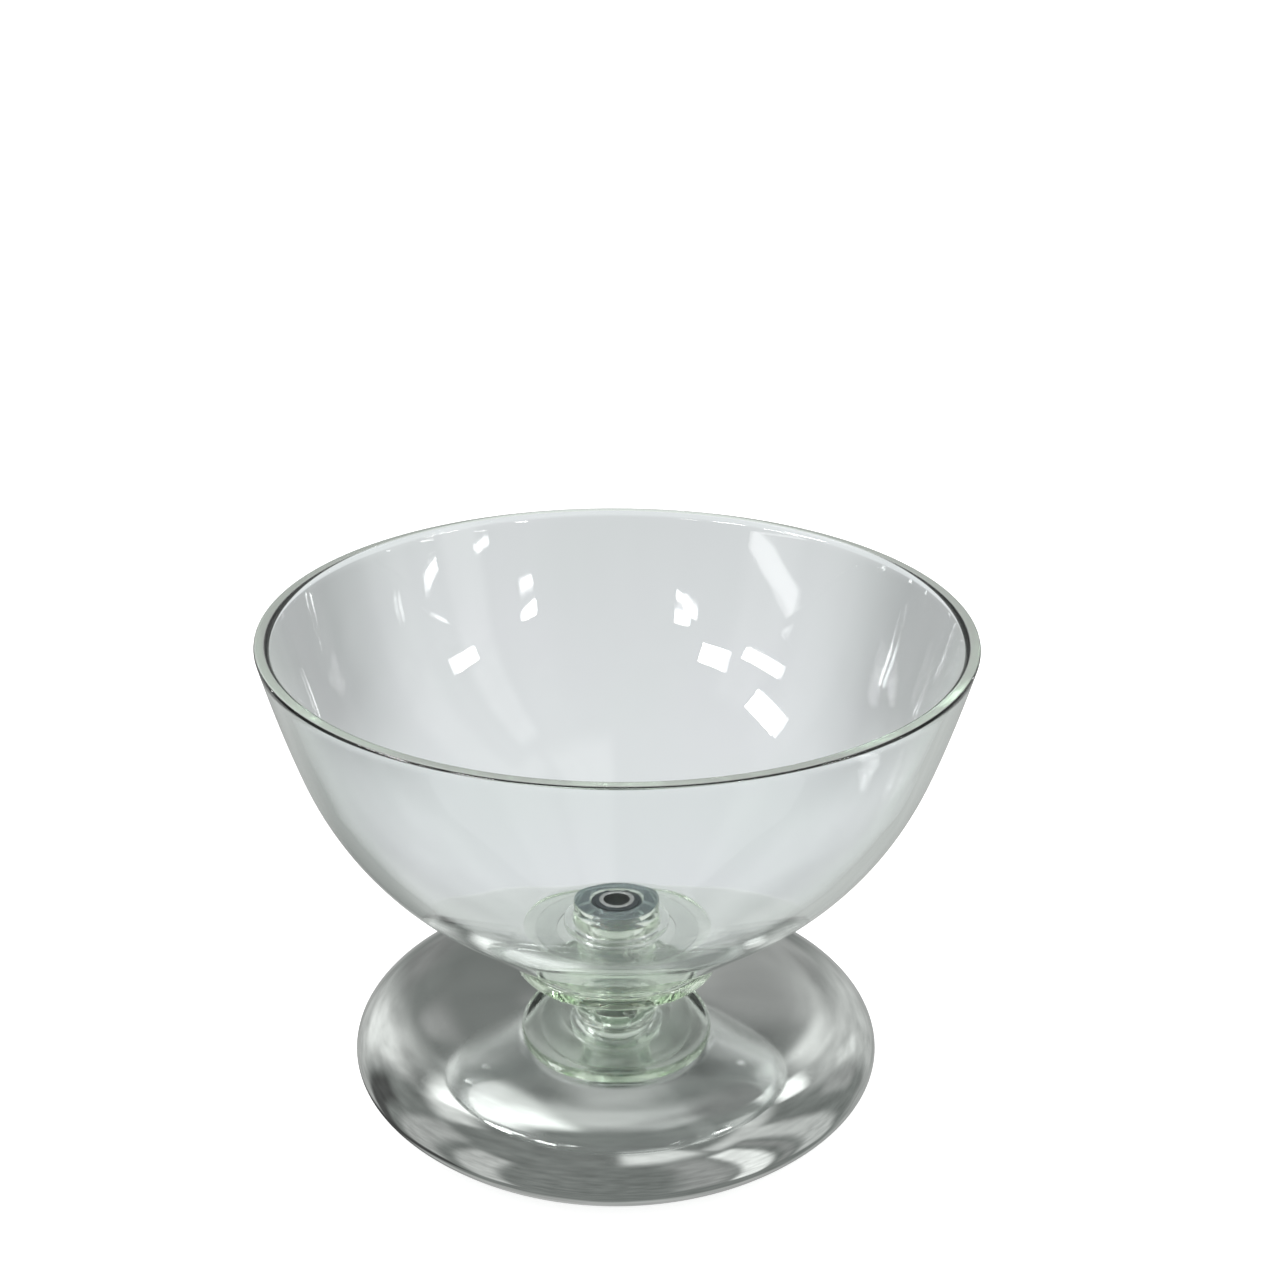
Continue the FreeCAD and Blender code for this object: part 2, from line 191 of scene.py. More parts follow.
def on_circle(centre, radius, slope):
    """The point of a circle where it rises at that slope, low and outward of its centre."""
    return centre[0] + radius * math.sin(slope), centre[1] - radius * math.cos(slope)


def bowl_side(inset):
    """The bowl's side from its flat foot to the rim, moved inwards square to itself."""
    foot_centre = (BOWL_FOOT_RADIUS, BOWL_BOTTOM_Z + BOWL_FOOT_FILLET)
    cone_start = on_circle(foot_centre, BOWL_FOOT_FILLET, CONE_SLOPE)
    cone_rise = (CONE_END_RADIUS - cone_start[0]) * math.tan(CONE_SLOPE)
    cone_end = (CONE_END_RADIUS, cone_start[1] + cone_rise)
    belly_centre = on_circle(cone_end, -BELLY_RADIUS, CONE_SLOPE)
    belly_end = on_circle(belly_centre, BELLY_RADIUS, BELLY_END_SLOPE)
    dr, dz = RIM_RADIUS - belly_end[0], RIM_Z - belly_end[1]
    off_tangent = dz * math.cos(BELLY_END_SLOPE) - dr * math.sin(BELLY_END_SLOPE)
    upper_radius = (dr * dr + dz * dz) / (2 * off_tangent)
    upper_centre = on_circle(belly_end, -upper_radius, BELLY_END_SLOPE)
    rim_slope = math.acos((upper_centre[1] - RIM_Z) / (upper_radius - inset))
    side = []
    for centre, radius, slope_from, slope_to, steps in (
        (foot_centre, BOWL_FOOT_FILLET - inset, 0.0, CONE_SLOPE, FILLET_STEPS),
        (belly_centre, BELLY_RADIUS - inset, CONE_SLOPE, BELLY_END_SLOPE, BELLY_STEPS),
        (upper_centre, upper_radius - inset, BELLY_END_SLOPE, rim_slope, UPPER_STEPS),
    ):
        for i in range(steps + 1):
            slope = slope_from + (slope_to - slope_from) * i / steps
            spot = on_circle(centre, radius, slope)
            if not side or math.dist(side[-1], spot) > SAME_SPOT:
                side.append(spot)
    return side


def clear_of_rim(side, round_size):
    """The side without the points that the rim's round takes the place of, but with its end."""
    end = side[-1]
    nearest = RIM_CLEARANCE * round_size
    return [spot for spot in side[:-1] if math.dist(spot, end) > nearest] + [end]


def bowl_outline():
    outer = clear_of_rim(bowl_side(0.0), RIM_OUTER_ROUND)
    inner = clear_of_rim(bowl_side(BOWL_WALL), RIM_INNER_ROUND)
    corners = [(r, z, 0.0) for r, z in outer[:-1]]
    corners.append((*outer[-1], RIM_OUTER_ROUND))
    corners.append((*inner[-1], RIM_INNER_ROUND))
    corners += [(r, z, 0.0) for r, z in reversed(inner[:-1])]
    corners.append((BOWL_HOLE_RADIUS, BOWL_BOTTOM_Z + BOWL_WALL, BOWL_HOLE_ROUND))
    corners.append((BOWL_HOLE_RADIUS, BOWL_BOTTOM_Z, BOWL_HOLE_ROUND))
    return divided(rounded_outline(corners, RIM_STEPS), BOWL_RUN)


def bowl_ripple(radius, z, angle):
    """Slow ripples of a heat-formed sheet; none at the rim's edge or on the flat foot."""
    share = (z - BOWL_BOTTOM_Z) / (RIM_Z - BOWL_BOTTOM_Z)
    above_foot = RIPPLE_RISE * share - RIPPLE_AT_FOOT
    below_rim = RIPPLE_RISE * (1 - share) - RIPPLE_AT_RIM
    fade = max(0.0, min(1.0, above_foot, below_rim))
    spot = Vector((radius * math.cos(angle), radius * math.sin(angle), z)) / RIPPLE_LENGTH
    slow = noise.noise(spot)
    fine = noise.noise(spot * FINE_RIPPLE_SCALE + FINE_RIPPLE_SHIFT)
    return radius + RIPPLE_HEIGHT * fade * (slow + FINE_RIPPLE_SHARE * fine)


def make_bowl():
    return lathe("acrylic_bowl", bowl_outline(), shift=bowl_ripple)


# ---------------------------------------------------------------- hub
BOND_GAP = 0.05 * MM          # a glue line
HUB_RADIUS = 19.5 * MM
SLEEVE_BORE = 8.3 * MM
BUSH_RADIUS = 11.0 * MM
BUSH_BORE = 8.05 * MM
SHOULDER_POCKET = 12.0 * MM
CAP_RECESS = 12.3 * MM
HUB_EDGE_ROUND = 0.5 * MM
SMALL_ROUND = 0.15 * MM
FLANGE_ROUND = 1.5 * MM
NECK_RING_ROUND = 1.0 * MM
GASKET_INNER_RADIUS = 28.0 * MM
CONTACT_GAP = 0.03 * MM       # keeps pieces that touch from sharing a face
HUB_SEGMENTS = 192
HUB_RUN = 4.0 * MM


def make_hub_sleeve():
    low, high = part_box("hub_sleeve")
    lower_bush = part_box("lower_bush")
    upper_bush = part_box("upper_bush")
    seat = BUSH_RADIUS + BOND_GAP
    outline = rounded_outline([
        (SHOULDER_POCKET, low.z, SMALL_ROUND),
        (HUB_RADIUS, low.z, HUB_EDGE_ROUND),
        (HUB_RADIUS, high.z, HUB_EDGE_ROUND),
        (seat, high.z, SMALL_ROUND),
        (seat, upper_bush[0].z, SMALL_ROUND),
        (SLEEVE_BORE, upper_bush[0].z, SMALL_ROUND),
        (SLEEVE_BORE, lower_bush[1].z, SMALL_ROUND),
        (seat, lower_bush[1].z, SMALL_ROUND),
        (seat, lower_bush[0].z, SMALL_ROUND),
        (SHOULDER_POCKET, lower_bush[0].z, SMALL_ROUND),
    ])
    return lathe("hub_sleeve_clear", divided(outline, HUB_RUN), HUB_SEGMENTS)


def make_hub_cap():
    low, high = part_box("hub_cap")
    recess_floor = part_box("upper_bush")[1].z
    seat = BUSH_RADIUS + BOND_GAP
    outline = rounded_outline([
        (seat, low.z, SMALL_ROUND),
        (HUB_RADIUS, low.z, HUB_EDGE_ROUND),
        (HUB_RADIUS, high.z, HUB_EDGE_ROUND),
        (CAP_RECESS, high.z, SMALL_ROUND),
        (CAP_RECESS, recess_floor, SMALL_ROUND),
        (seat, recess_floor, SMALL_ROUND),
    ])
    return lathe("hub_cap_clear", divided(outline, HUB_RUN), HUB_SEGMENTS)


def make_hub_flange():
    """Its bore overlaps the sleeve by a hair, so that the glue line does not show as an air gap."""
    return turned_ring("hub_flange_clear", "hub_flange", HUB_RADIUS - BOND_GAP, FLANGE_ROUND)


def make_neck_ring():
    return turned_ring("neck_ring_clear", "neck_ring", BOWL_HOLE_RADIUS, NECK_RING_ROUND, CONTACT_GAP)


def make_gasket():
    return turned_ring("gasket_moulded", "bowl_gasket", GASKET_INNER_RADIUS, SMALL_ROUND, CONTACT_GAP)


# ---------------------------------------------------------------- post
TUBE_RADIUS = 8.0 * MM
TUBE_BORE = 6.0 * MM
CLIP_GROOVE = 7.3 * MM        # radius of the groove's floor
TUBE_MOUTH_ROUND = 0.3 * MM
POST_RUN = 5.0 * MM


def make_post_tube():
    low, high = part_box("post_tube")
    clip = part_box("retaining_ring")
    outline = rounded_outline([
        (TUBE_BORE, low.z, SMALL_ROUND),
        (TUBE_RADIUS, low.z, SMALL_ROUND),
        (TUBE_RADIUS, clip[0].z - BOND_GAP, SMALL_ROUND),
        (CLIP_GROOVE, clip[0].z - BOND_GAP, 0.0),
        (CLIP_GROOVE, clip[1].z + BOND_GAP, 0.0),
        (TUBE_RADIUS, clip[1].z + BOND_GAP, SMALL_ROUND),
        (TUBE_RADIUS, high.z, SMALL_ROUND),
        (TUBE_BORE, high.z, TUBE_MOUTH_ROUND),
    ])
    return lathe("post_tube_plated", divided(outline, POST_RUN), HUB_SEGMENTS)


# ---------------------------------------------------------------- base shell
SHELL_WALL = 1.5 * MM
CROWN_HOLE = 8.2 * MM
LIP_RADIUS = 93.0 * MM
# The shell's outside as (radius, z) in millimetres: its crown, and its skirt below the widest point.
CROWN_POINTS = [(20.0, 44.5), (45.0, 42.2), (72.0, 40.3), (95.0, 37.4), (111.0, 30.8), (119.0, 18.6)]
SKIRT_POINTS = [(119.0, 18.6), (115.2, 11.4), (108.6, 5.2), (101.0, 1.0)]
LEVEL = Vector((1, 0))
DOWN = Vector((0, -1))
SKIRT_END = Vector((-0.95, -0.31))
CROWN_STEPS = 14              # divisions between two points
SKIRT_STEPS = 10
SHELL_RUN = 6.0 * MM
BASE_SEGMENTS = 360


def smooth_run(points, first, last, steps):
    """A cubic spline through the points that starts and ends in the given directions."""
    spots = [Vector(p) * MM for p in points]
    lengths = [(b - a).length for a, b in zip(spots, spots[1:])]
    tangents = spline_tangents(spots, lengths, first, last)
    run = []
    for k, length in enumerate(lengths):
        for i in range(steps):
            t = i / steps
            spot = (
                spots[k] * (2 * t**3 - 3 * t**2 + 1)
                + tangents[k] * length * (t**3 - 2 * t**2 + t)
                + spots[k + 1] * (3 * t**2 - 2 * t**3)
                + tangents[k + 1] * length * (t**3 - t**2)
            )
            run.append(tuple(spot))
    run.append(tuple(spots[-1]))
    return run


def spline_tangents(spots, lengths, first, last):
    """Tangents of the clamped cubic spline, by elimination of its three-term equations."""
    lower, middle, upper, right = [0.0], [1.0], [0.0], [first]
    for k in range(1, len(spots) - 1):
        before, after = lengths[k - 1], lengths[k]
        step_before = (spots[k] - spots[k - 1]) / before
        step_after = (spots[k + 1] - spots[k]) / after
        lower.append(after)
        middle.append(2 * (before + after))
        upper.append(before)
        right.append(3 * (step_before * after + step_after * before))
    lower.append(0.0)
    middle.append(1.0)
    upper.append(0.0)
    right.append(last)
    for k in range(1, len(spots)):
        factor = lower[k] / middle[k - 1]
        middle[k] -= factor * upper[k - 1]
        right[k] = right[k] - right[k - 1] * factor
    tangents = [right[-1] / middle[-1]]
    for k in range(len(spots) - 2, -1, -1):
        tangents.insert(0, (right[k] - tangents[0] * upper[k]) / middle[k])
    return tangents


def inset_run(run, distance):
    """The run moved square to itself, to the inside of the shell."""
    moved = []
    for k, spot in enumerate(run):
        before = Vector(run[max(0, k - 1)])
        after = Vector(run[min(len(run) - 1, k + 1)])
        along = (after - before).normalized()
        moved.append((spot[0] + along.y * distance, spot[1] - along.x * distance))
    return moved


def make_base_shell():
    low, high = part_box("base_shell")
    crown = smooth_run(CROWN_POINTS, LEVEL, DOWN, CROWN_STEPS)
    skirt = smooth_run(SKIRT_POINTS, DOWN, SKIRT_END, SKIRT_STEPS)
    outside = crown + skirt[1:]
    lip_top = low.z + SHELL_WALL
    inside = [spot for spot in inset_run(outside, SHELL_WALL) if spot[1] > lip_top]
    outline = [(CROWN_HOLE, high.z)] + outside
    outline += [(LIP_RADIUS, low.z), (LIP_RADIUS, lip_top)]
    outline += list(reversed(inside)) + [(CROWN_HOLE, high.z - SHELL_WALL)]
    return lathe("base_shell_plated", divided(outline, SHELL_RUN), BASE_SEGMENTS)


# ---------------------------------------------------------------- node helpers
MIX_COLOURS = (6, 7)          # the Mix node's sockets when it mixes colours
MIX_RESULT = 2


def new_material(name):
    material = bpy.data.materials.new(name)
    material.use_nodes = True
    tree = material.node_tree
    tree.nodes.clear()
    output = tree.nodes.new("ShaderNodeOutputMaterial")
    surface = tree.nodes.new("ShaderNodeBsdfPrincipled")
    tree.links.new(surface.outputs["BSDF"], output.inputs["Surface"])
    return material, tree, surface, output


def feed(tree, socket, value):
    """Links a socket to an output, or sets it to a number."""
    if isinstance(value, bpy.types.NodeSocket):
        tree.links.new(value, socket)
    else:
        socket.default_value = value


def calculated(tree, operation, *values):
    node = tree.nodes.new("ShaderNodeMath")
    node.operation = operation
    for socket, value in zip(node.inputs, values):
        feed(tree, socket, value)
    return node.outputs[0]


def noise_at(tree, coordinates, scale, detail):
    """Noise from 0 to 1."""
    texture = tree.nodes.new("ShaderNodeTexNoise")
    texture.inputs["Scale"].default_value = scale
    texture.inputs["Detail"].default_value = detail
    tree.links.new(coordinates, texture.inputs["Vector"])
    return texture.outputs["Fac"]


def object_noise(tree, scale, detail):
    """Noise in the object's own space, 0 to 1."""
    coordinates = tree.nodes.new("ShaderNodeTexCoord")
    return noise_at(tree, coordinates.outputs["Object"], scale, detail)


def object_height(tree):
    """Height in the object's own space."""
    coordinates = tree.nodes.new("ShaderNodeTexCoord")
    axes = tree.nodes.new("ShaderNodeSeparateXYZ")
    tree.links.new(coordinates.outputs["Object"], axes.inputs["Vector"])
    return axes.outputs["Z"]


def ranged(tree, value, from_low, from_high, low, high, shape="LINEAR"):
    node = tree.nodes.new("ShaderNodeMapRange")
    node.interpolation_type = shape
    tree.links.new(value, node.inputs["Value"])
    node.inputs["From Min"].default_value = from_low
    node.inputs["From Max"].default_value = from_high
    node.inputs["To Min"].default_value = low
    node.inputs["To Max"].default_value = high
    return node.outputs["Result"]


def mixed_colour(tree, factor, first, second):
    node = tree.nodes.new("ShaderNodeMix")
    node.data_type = "RGBA"
    feed(tree, node.inputs["Factor"], factor)
    for number, colour in zip(MIX_COLOURS, (first, second)):
        is_output = isinstance(colour, bpy.types.NodeSocket)
        feed(tree, node.inputs[number], colour if is_output else (*colour, 1))
    return node.outputs[MIX_RESULT]


def add_bump(tree, surface, height, strength, distance):
    bump = tree.nodes.new("ShaderNodeBump")
    bump.inputs["Strength"].default_value = strength
    bump.inputs["Distance"].default_value = distance
    tree.links.new(height, bump.inputs["Height"])
    tree.links.new(bump.outputs["Normal"], surface.inputs["Normal"])


# ---------------------------------------------------------------- materials
# Noise is given as its scale and its detail. A range is the part of the noise that counts.
DRIFT_NOISE = (11.0, 3.0)
HAZE_NOISE = (60.0, 6.0)
METAL_CLOUDS = (14.0, 4.0)
SOLID_CLOUDS = (40.0, 4.0)
METAL_GRAIN_DETAIL = 5.0
SOLID_GRAIN_DETAIL = 6.0
CLOUD_RANGE = (0.35, 0.65)
HAZE_RANGE = (0.40, 0.75)
GRAIN_RANGE = (0.30, 0.70)
METAL_BUMP_DEPTH = 0.05 * MM
SOLID_BUMP_DEPTH = 0.10 * MM


def clear_plastic(name, refraction, tints, haze, depth_colour, depth_density, painted_top):
    """A faint drift of tint and haze on the faces, and colour that grows with depth.

    The last argument is the height above which the piece lets less light through and takes a painted
    colour, the depth over which that comes in, and that colour and the clearness there. The colour is
    painted light: a pale grey on the bowl's rim, for the light that its frosted edge gathers, and a
    slate blue on the cap's top, a painted reflection of the dark room. It is None on a piece that is
    clear throughout.
    """
    material, tree, surface, output = new_material(name)
    surface.inputs["IOR"].default_value = refraction
    drift = ranged(tree, object_noise(tree, *DRIFT_NOISE), *CLOUD_RANGE, 0.0, 1.0)
    tint = mixed_colour(tree, drift, *tints)
    if painted_top:
        # The top's colour is painted light, mixed in above the given height, and the top lets less
        # light through.
        start, depth, painted_top_colour, clearness = painted_top
        height = object_height(tree)
        painted_top_share = ranged(tree, height, start, start + depth, 0.0, 1.0)
        tint = mixed_colour(tree, painted_top_share, tint, painted_top_colour)
        clear = ranged(tree, height, start, start + depth, 1.0, clearness)
        tree.links.new(clear, surface.inputs["Transmission Weight"])
    else:
        surface.inputs["Transmission Weight"].default_value = 1.0
    tree.links.new(tint, surface.inputs["Base Color"])
    hazy = ranged(tree, object_noise(tree, *HAZE_NOISE), *HAZE_RANGE, *haze)
    tree.links.new(hazy, surface.inputs["Roughness"])
    absorption = tree.nodes.new("ShaderNodeVolumeAbsorption")
    absorption.inputs["Color"].default_value = (*depth_colour, 1)
    absorption.inputs["Density"].default_value = depth_density
    tree.links.new(absorption.outputs["Volume"], output.inputs["Volume"])
    return material


def metal(name, colour_a, colour_b, roughness, grain, bump):
    """A clouded metal whose fine grain sets its roughness."""
    material, tree, surface, _ = new_material(name)
    surface.inputs["Metallic"].default_value = 1.0
    clouds = ranged(tree, object_noise(tree, *METAL_CLOUDS), *CLOUD_RANGE, 0.0, 1.0)
    tree.links.new(mixed_colour(tree, clouds, colour_a, colour_b), surface.inputs["Base Color"])
    fine = object_noise(tree, grain, METAL_GRAIN_DETAIL)
    tree.links.new(ranged(tree, fine, *GRAIN_RANGE, *roughness), surface.inputs["Roughness"])
    if bump > 0:
        add_bump(tree, surface, fine, bump, METAL_BUMP_DEPTH)
    return material


def solid(name, colour_a, colour_b, roughness, grain, bump, subsurface):
    """A clouded plastic, rubber or casting with a fine rough grain."""
    material, tree, surface, _ = new_material(name)
    clouds = ranged(tree, object_noise(tree, *SOLID_CLOUDS), *CLOUD_RANGE, 0.0, 1.0)
    tree.links.new(mixed_colour(tree, clouds, colour_a, colour_b), surface.inputs["Base Color"])
    fine = object_noise(tree, grain, SOLID_GRAIN_DETAIL)
    tree.links.new(ranged(tree, fine, *GRAIN_RANGE, *roughness), surface.inputs["Roughness"])
    surface.inputs["Subsurface Weight"].default_value = subsurface
    add_bump(tree, surface, fine, bump, SOLID_BUMP_DEPTH)
    return material


ACRYLIC_INDEX = 1.49
GASKET_INDEX = 1.41
BOWL_TINTS = ((0.975, 0.99, 0.985), (0.985, 0.985, 0.995))
HUB_TINTS = ((0.97, 0.99, 0.96), (0.98, 0.99, 0.97))
GASKET_TINTS = ((0.96, 0.97, 0.96), (0.94, 0.95, 0.95))
BOWL_DEPTHS = (0.87, 0.94, 0.88)
HUB_DEPTHS = (0.82, 0.95, 0.78)
GASKET_DEPTHS = (0.90, 0.94, 0.90)
CAP_TOP_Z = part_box("hub_cap")[1].z
# The bowl's rim: a frosted edge whose pale grey-green is also painted light, standing in for the light
# that the rim gathers.
BOWL_RIM_FROST_AND_PAINTED_LIGHT = (RIM_Z - 0.35 * MM, 0.25 * MM, (0.66, 0.71, 0.66), 0.5)
# The cap's top face: its slate blue is a painted reflection of the dark room, and the face lets less
# light through.
CAP_TOP_PAINTED_REFLECTION = (CAP_TOP_Z - 0.4 * MM, 0.2 * MM, (0.34, 0.42, 0.46), 0.72)

# name, index of refraction, tints, haze, colour of its depths, their density, top with painted light
CLEAR_PLASTICS = [
    ("clear_acrylic", ACRYLIC_INDEX, BOWL_TINTS, (0.02, 0.04), BOWL_DEPTHS, 8.0, BOWL_RIM_FROST_AND_PAINTED_LIGHT),
    ("hub_cap_acrylic", ACRYLIC_INDEX, HUB_TINTS, (0.01, 0.03), HUB_DEPTHS, 9.5, CAP_TOP_PAINTED_REFLECTION),
    ("hub_acrylic", ACRYLIC_INDEX, HUB_TINTS, (0.01, 0.03), HUB_DEPTHS, 9.5, None),
    ("clear_gasket", GASKET_INDEX, GASKET_TINTS, (0.10, 0.20), GASKET_DEPTHS, 30.0, None),
]
# name, two colours, roughness, scale of the grain, strength of the bump
METALS = [
    ("post_chrome", (0.80, 0.81, 0.80), (0.74, 0.76, 0.76), (0.05, 0.10), 900.0, 0.0),
    ("base_chrome", (0.76, 0.78, 0.765), (0.70, 0.725, 0.71), (0.05, 0.10), 500.0, 0.0),
    ("washer_dark", (0.10, 0.12, 0.13), (0.05, 0.07, 0.08), (0.3, 0.5), 700.0, 0.1),
    ("fastener_steel", (0.62, 0.63, 0.62), (0.50, 0.52, 0.52), (0.2, 0.4), 900.0, 0.1),
]
# name, two colours, roughness, scale of the grain, strength of the bump, subsurface light
SOLIDS = [
    ("bush_nylon", (0.80, 0.82, 0.78), (0.70, 0.74, 0.70), (0.35, 0.5), 300.0, 0.15, 0.2),
    ("weight_iron", (0.10, 0.10, 0.105), (0.16, 0.15, 0.14), (0.6, 0.85), 250.0, 0.6, 0.0),
    ("plate_black", (0.03, 0.03, 0.032), (0.05, 0.05, 0.052), (0.4, 0.55), 500.0, 0.2, 0.0),
    ("foot_rubber", (0.035, 0.035, 0.035), (0.055, 0.055, 0.055), (0.7, 0.9), 400.0, 0.3, 0.0),
]
MATERIALS = {}
for make_material, rows in ((clear_plastic, CLEAR_PLASTICS), (metal, METALS), (solid, SOLIDS)):
    for material_row in rows:
        MATERIALS[material_row[0]] = make_material(*material_row)
NODE_SLOTS = {row["node"]: row["material_slot"] for row in frame["record"]["subparts"]}


def paint(piece, slot_name):
    piece.data.materials.clear()
    piece.data.materials.append(MATERIALS[slot_name])


def place(piece, node, body, look=None):
    """Gives a piece its material, puts it on its body, and hides the CAD node that it stands for.

    look names the material if it is another than the slot's own.
    """
    paint(piece, look or NODE_SLOTS[node])
    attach(piece, body)
    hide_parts(node)


for node_name, node_object in frame["nodes"].items():
    paint(node_object, NODE_SLOTS[node_name])

place(make_bowl(), "bowl", "bowl")
place(make_neck_ring(), "neck_ring", "bowl")
place(make_hub_sleeve(), "hub_sleeve", "hub")
place(make_hub_flange(), "hub_flange", "hub")
# The cap has its own material, for the painted slate-blue reflection on its top face.
place(make_hub_cap(), "hub_cap", "hub", "hub_cap_acrylic")
place(make_gasket(), "bowl_gasket", "hub")
place(turned_ring("lower_bush_turned", "lower_bush", BUSH_BORE, SMALL_ROUND), "lower_bush", "hub")
place(turned_ring("upper_bush_turned", "upper_bush", BUSH_BORE, SMALL_ROUND), "upper_bush", "hub")
place(make_post_tube(), "post_tube", "base")
place(make_base_shell(), "base_shell", "base")


# ---------------------------------------------------------------- floor and world
FLOOR_HALF = 30.0
FLOOR_DROP = 0.2 * MM         # keeps the floor clear of the foot ring
FLOOR_COLOUR = (0.93, 0.93, 0.93, 1)
FLOOR_ROUGHNESS = 0.9
FLOOR_GLOW = 0.70             # lifts the floor to the white of the background
WHITE = (1, 1, 1, 1)


def make_floor():
    half = FLOOR_HALF
    corners = [(-half, -half, 0), (half, -half, 0), (half, half, 0), (-half, half, 0)]
    floor = mesh_object("floor", corners, [(0, 1, 2, 3)])
    floor.location.z = -FLOOR_DROP
    material, _, surface, _ = new_material("floor_pale")
    surface.inputs["Base Color"].default_value = FLOOR_COLOUR
    surface.inputs["Roughness"].default_value = FLOOR_ROUGHNESS
    surface.inputs["Specular IOR Level"].default_value = 0.0
    surface.inputs["Emission Color"].default_value = WHITE
    surface.inputs["Emission Strength"].default_value = FLOOR_GLOW
    floor.data.materials.append(material)
    floor.visible_glossy = False
    floor.visible_transmission = False


# Soft patches of the room that the chrome and the acrylic reflect. Azimuth is in degrees round
# from the front towards +X, and elevation in degrees above level: azimuth, elevation, width,
# height, softness, brightness.
ROOM_PATCHES = [
    (-140, 5, 30, 70, 14, 0.62),      # pale wall, back left
    (142, 10, 34, 70, 16, 0.64),      # pale wall, back right
    (-163, 14, 10, 20, 8, 0.30),      # its shaded end
    (-164, 35, 8, 5, 4, 0.42),        # shelf
    (172, 24, 22, 24, 8, 0.42),       # shelves behind
    (163, 30, 8, 8, 5, 0.56),         # their lit top
    (180, -45, 140, 70, 24, 0.46),    # table behind
    (-56, -5, 18, 84, 8, 0.62),       # window, left
    (-85, 5, 20, 76, 10, 0.50),       # its curtain
    (-112, -10, 16, 64, 8, 0.10),     # dark door
    (-120, -42, 90, 16, 10, 0.07),    # dark floor edge
    (57, 8, 14, 88, 5, 1.05),         # window, right
    (72, 12, 5, 84, 4, 0.32),         # its frame
    (88, 15, 18, 90, 8, 0.64),        # its curtain
    (119, 24, 12, 24, 8, 0.44),       # pale wall, right
    (36, 10, 20, 90, 14, 0.40),       # pale wall, front right
    (180, 60, 44, 16, 10, 0.68),      # pale ceiling behind
    (180, 43, 10, 18, 6, 0.56),       # its lower edge
    (173, 39, 9, 5, 4, 0.12),         # dark cupboard behind
    (-142, 58, 46, 20, 10, 1.8),      # ceiling lamp, back left
    (-162, 49, 10, 10, 6, 1.10),      # its lower glow
    (-110, 52, 24, 14, 10, 0.85),     # its side glow
    (157, 53, 18, 14, 8, 0.28),       # dark beam, back right
    (154, 36, 12, 12, 6, 0.95),       # lit wall, back right
    (134, 24, 8, 16, 5, 0.90),        # picture on it
    (-140, 18, 16, 30, 8, 0.98),      # lit wall, back left
    (30, 68, 52, 16, 12, 0.90),       # ceiling lamp, front
    (95, 60, 70, 8, 6, 0.75),         # ceiling edge, right
    (139, 49, 20, 8, 4, 1.5),         # ceiling lamp, back right
]
PATCH_TINT = (0.985, 1.0, 0.985)
ROOM_GREY = (0.235, 0.248, 0.240)
MOTTLE_NOISE = (7.0, 5.0)
MOTTLE_RANGE = (0.3, 0.7)
ROOM_MOTTLE = (0.80, 1.20)            # uneven light in the room

# What the clear pieces let through: a pale backdrop with a drape at each side, given like the
# patches. Light that has turned about inside a piece, or came by way of the chrome, has a paleness
# of its own.
PALE_FAR = (0.690, 0.712, 0.720)
PALE_NEAR = (0.805, 0.832, 0.845)
DRAPES = [
    (-164, -15, 14, 24, 6, 0.62),     # grey drape, left
    (164, -15, 14, 24, 6, 0.62),      # grey drape, right
]
BACKDROP_STEP = (-30.0, -19.0)        # elevations between which its near part gives way to its far
PALE_INSIDE = (0.56, 0.59, 0.57)      # after a few crossings of a surface
PALE_DEEP = (1.02, 1.06, 1.01)        # after many
PALE_CHROME = (1.05, 1.07, 1.07)      # by way of the chrome
PALE_STEP = (4.0, 6.0)                # crossings between which PALE_INSIDE gives way to PALE_DEEP

# How much of PALE_INSIDE or PALE_DEEP takes the place of the room: it grows with mirrorings and
# crossings, and low down behind the object it is always at its most.
PALE_SHARE = (0.08, 0.85)
SHARE_BOUNCES = (1.0, 2.0)
SHARE_CROSSINGS = (2.0, 6.0)
LOW_STEP = (-15.0, -5.0)              # elevations
ASTERN_STEP = (110.0, 130.0)          # azimuths, to either side
CHROME_SHARE = 0.9                    # how much of PALE_CHROME takes its place

# Glossy Depth and Transmission Depth are whole numbers, so these lie between two counts.
NONE_TO_ONE = 0.5
ONE_TO_TWO = 1.5


def patch_mask(tree, azimuth, elevation, row):
    """1 inside a patch and 0 outside it, with soft edges."""
    centre_azimuth, centre_elevation, width, height, softness, _ = row
    across = calculated(tree, "SUBTRACT", azimuth, centre_azimuth)
    across = calculated(tree, "ABSOLUTE", calculated(tree, "WRAP", across, 180.0, -180.0))
    above = calculated(tree, "ABSOLUTE", calculated(tree, "SUBTRACT", elevation, centre_elevation))
    masks = []
    for distance, size in ((across, width), (above, height)):
        edge = size / 2
        near, far = edge - softness / 2, edge + softness / 2
        masks.append(ranged(tree, distance, near, far, 1.0, 0.0, "SMOOTHSTEP"))
    return calculated(tree, "MULTIPLY", *masks)


def background(tree, colour):
    """The world's shader of that colour."""
    node = tree.nodes.new("ShaderNodeBackground")
    feed(tree, node.inputs["Color"], colour)
    return node.outputs["Background"]


def chosen(tree, factor, first, second):
    """The first shader where the factor is 0, and the second where it is 1."""
    mix = tree.nodes.new("ShaderNodeMixShader")
    tree.links.new(factor, mix.inputs["Fac"])
    tree.links.new(first, mix.inputs[1])
    tree.links.new(second, mix.inputs[2])
    return mix.outputs["Shader"]


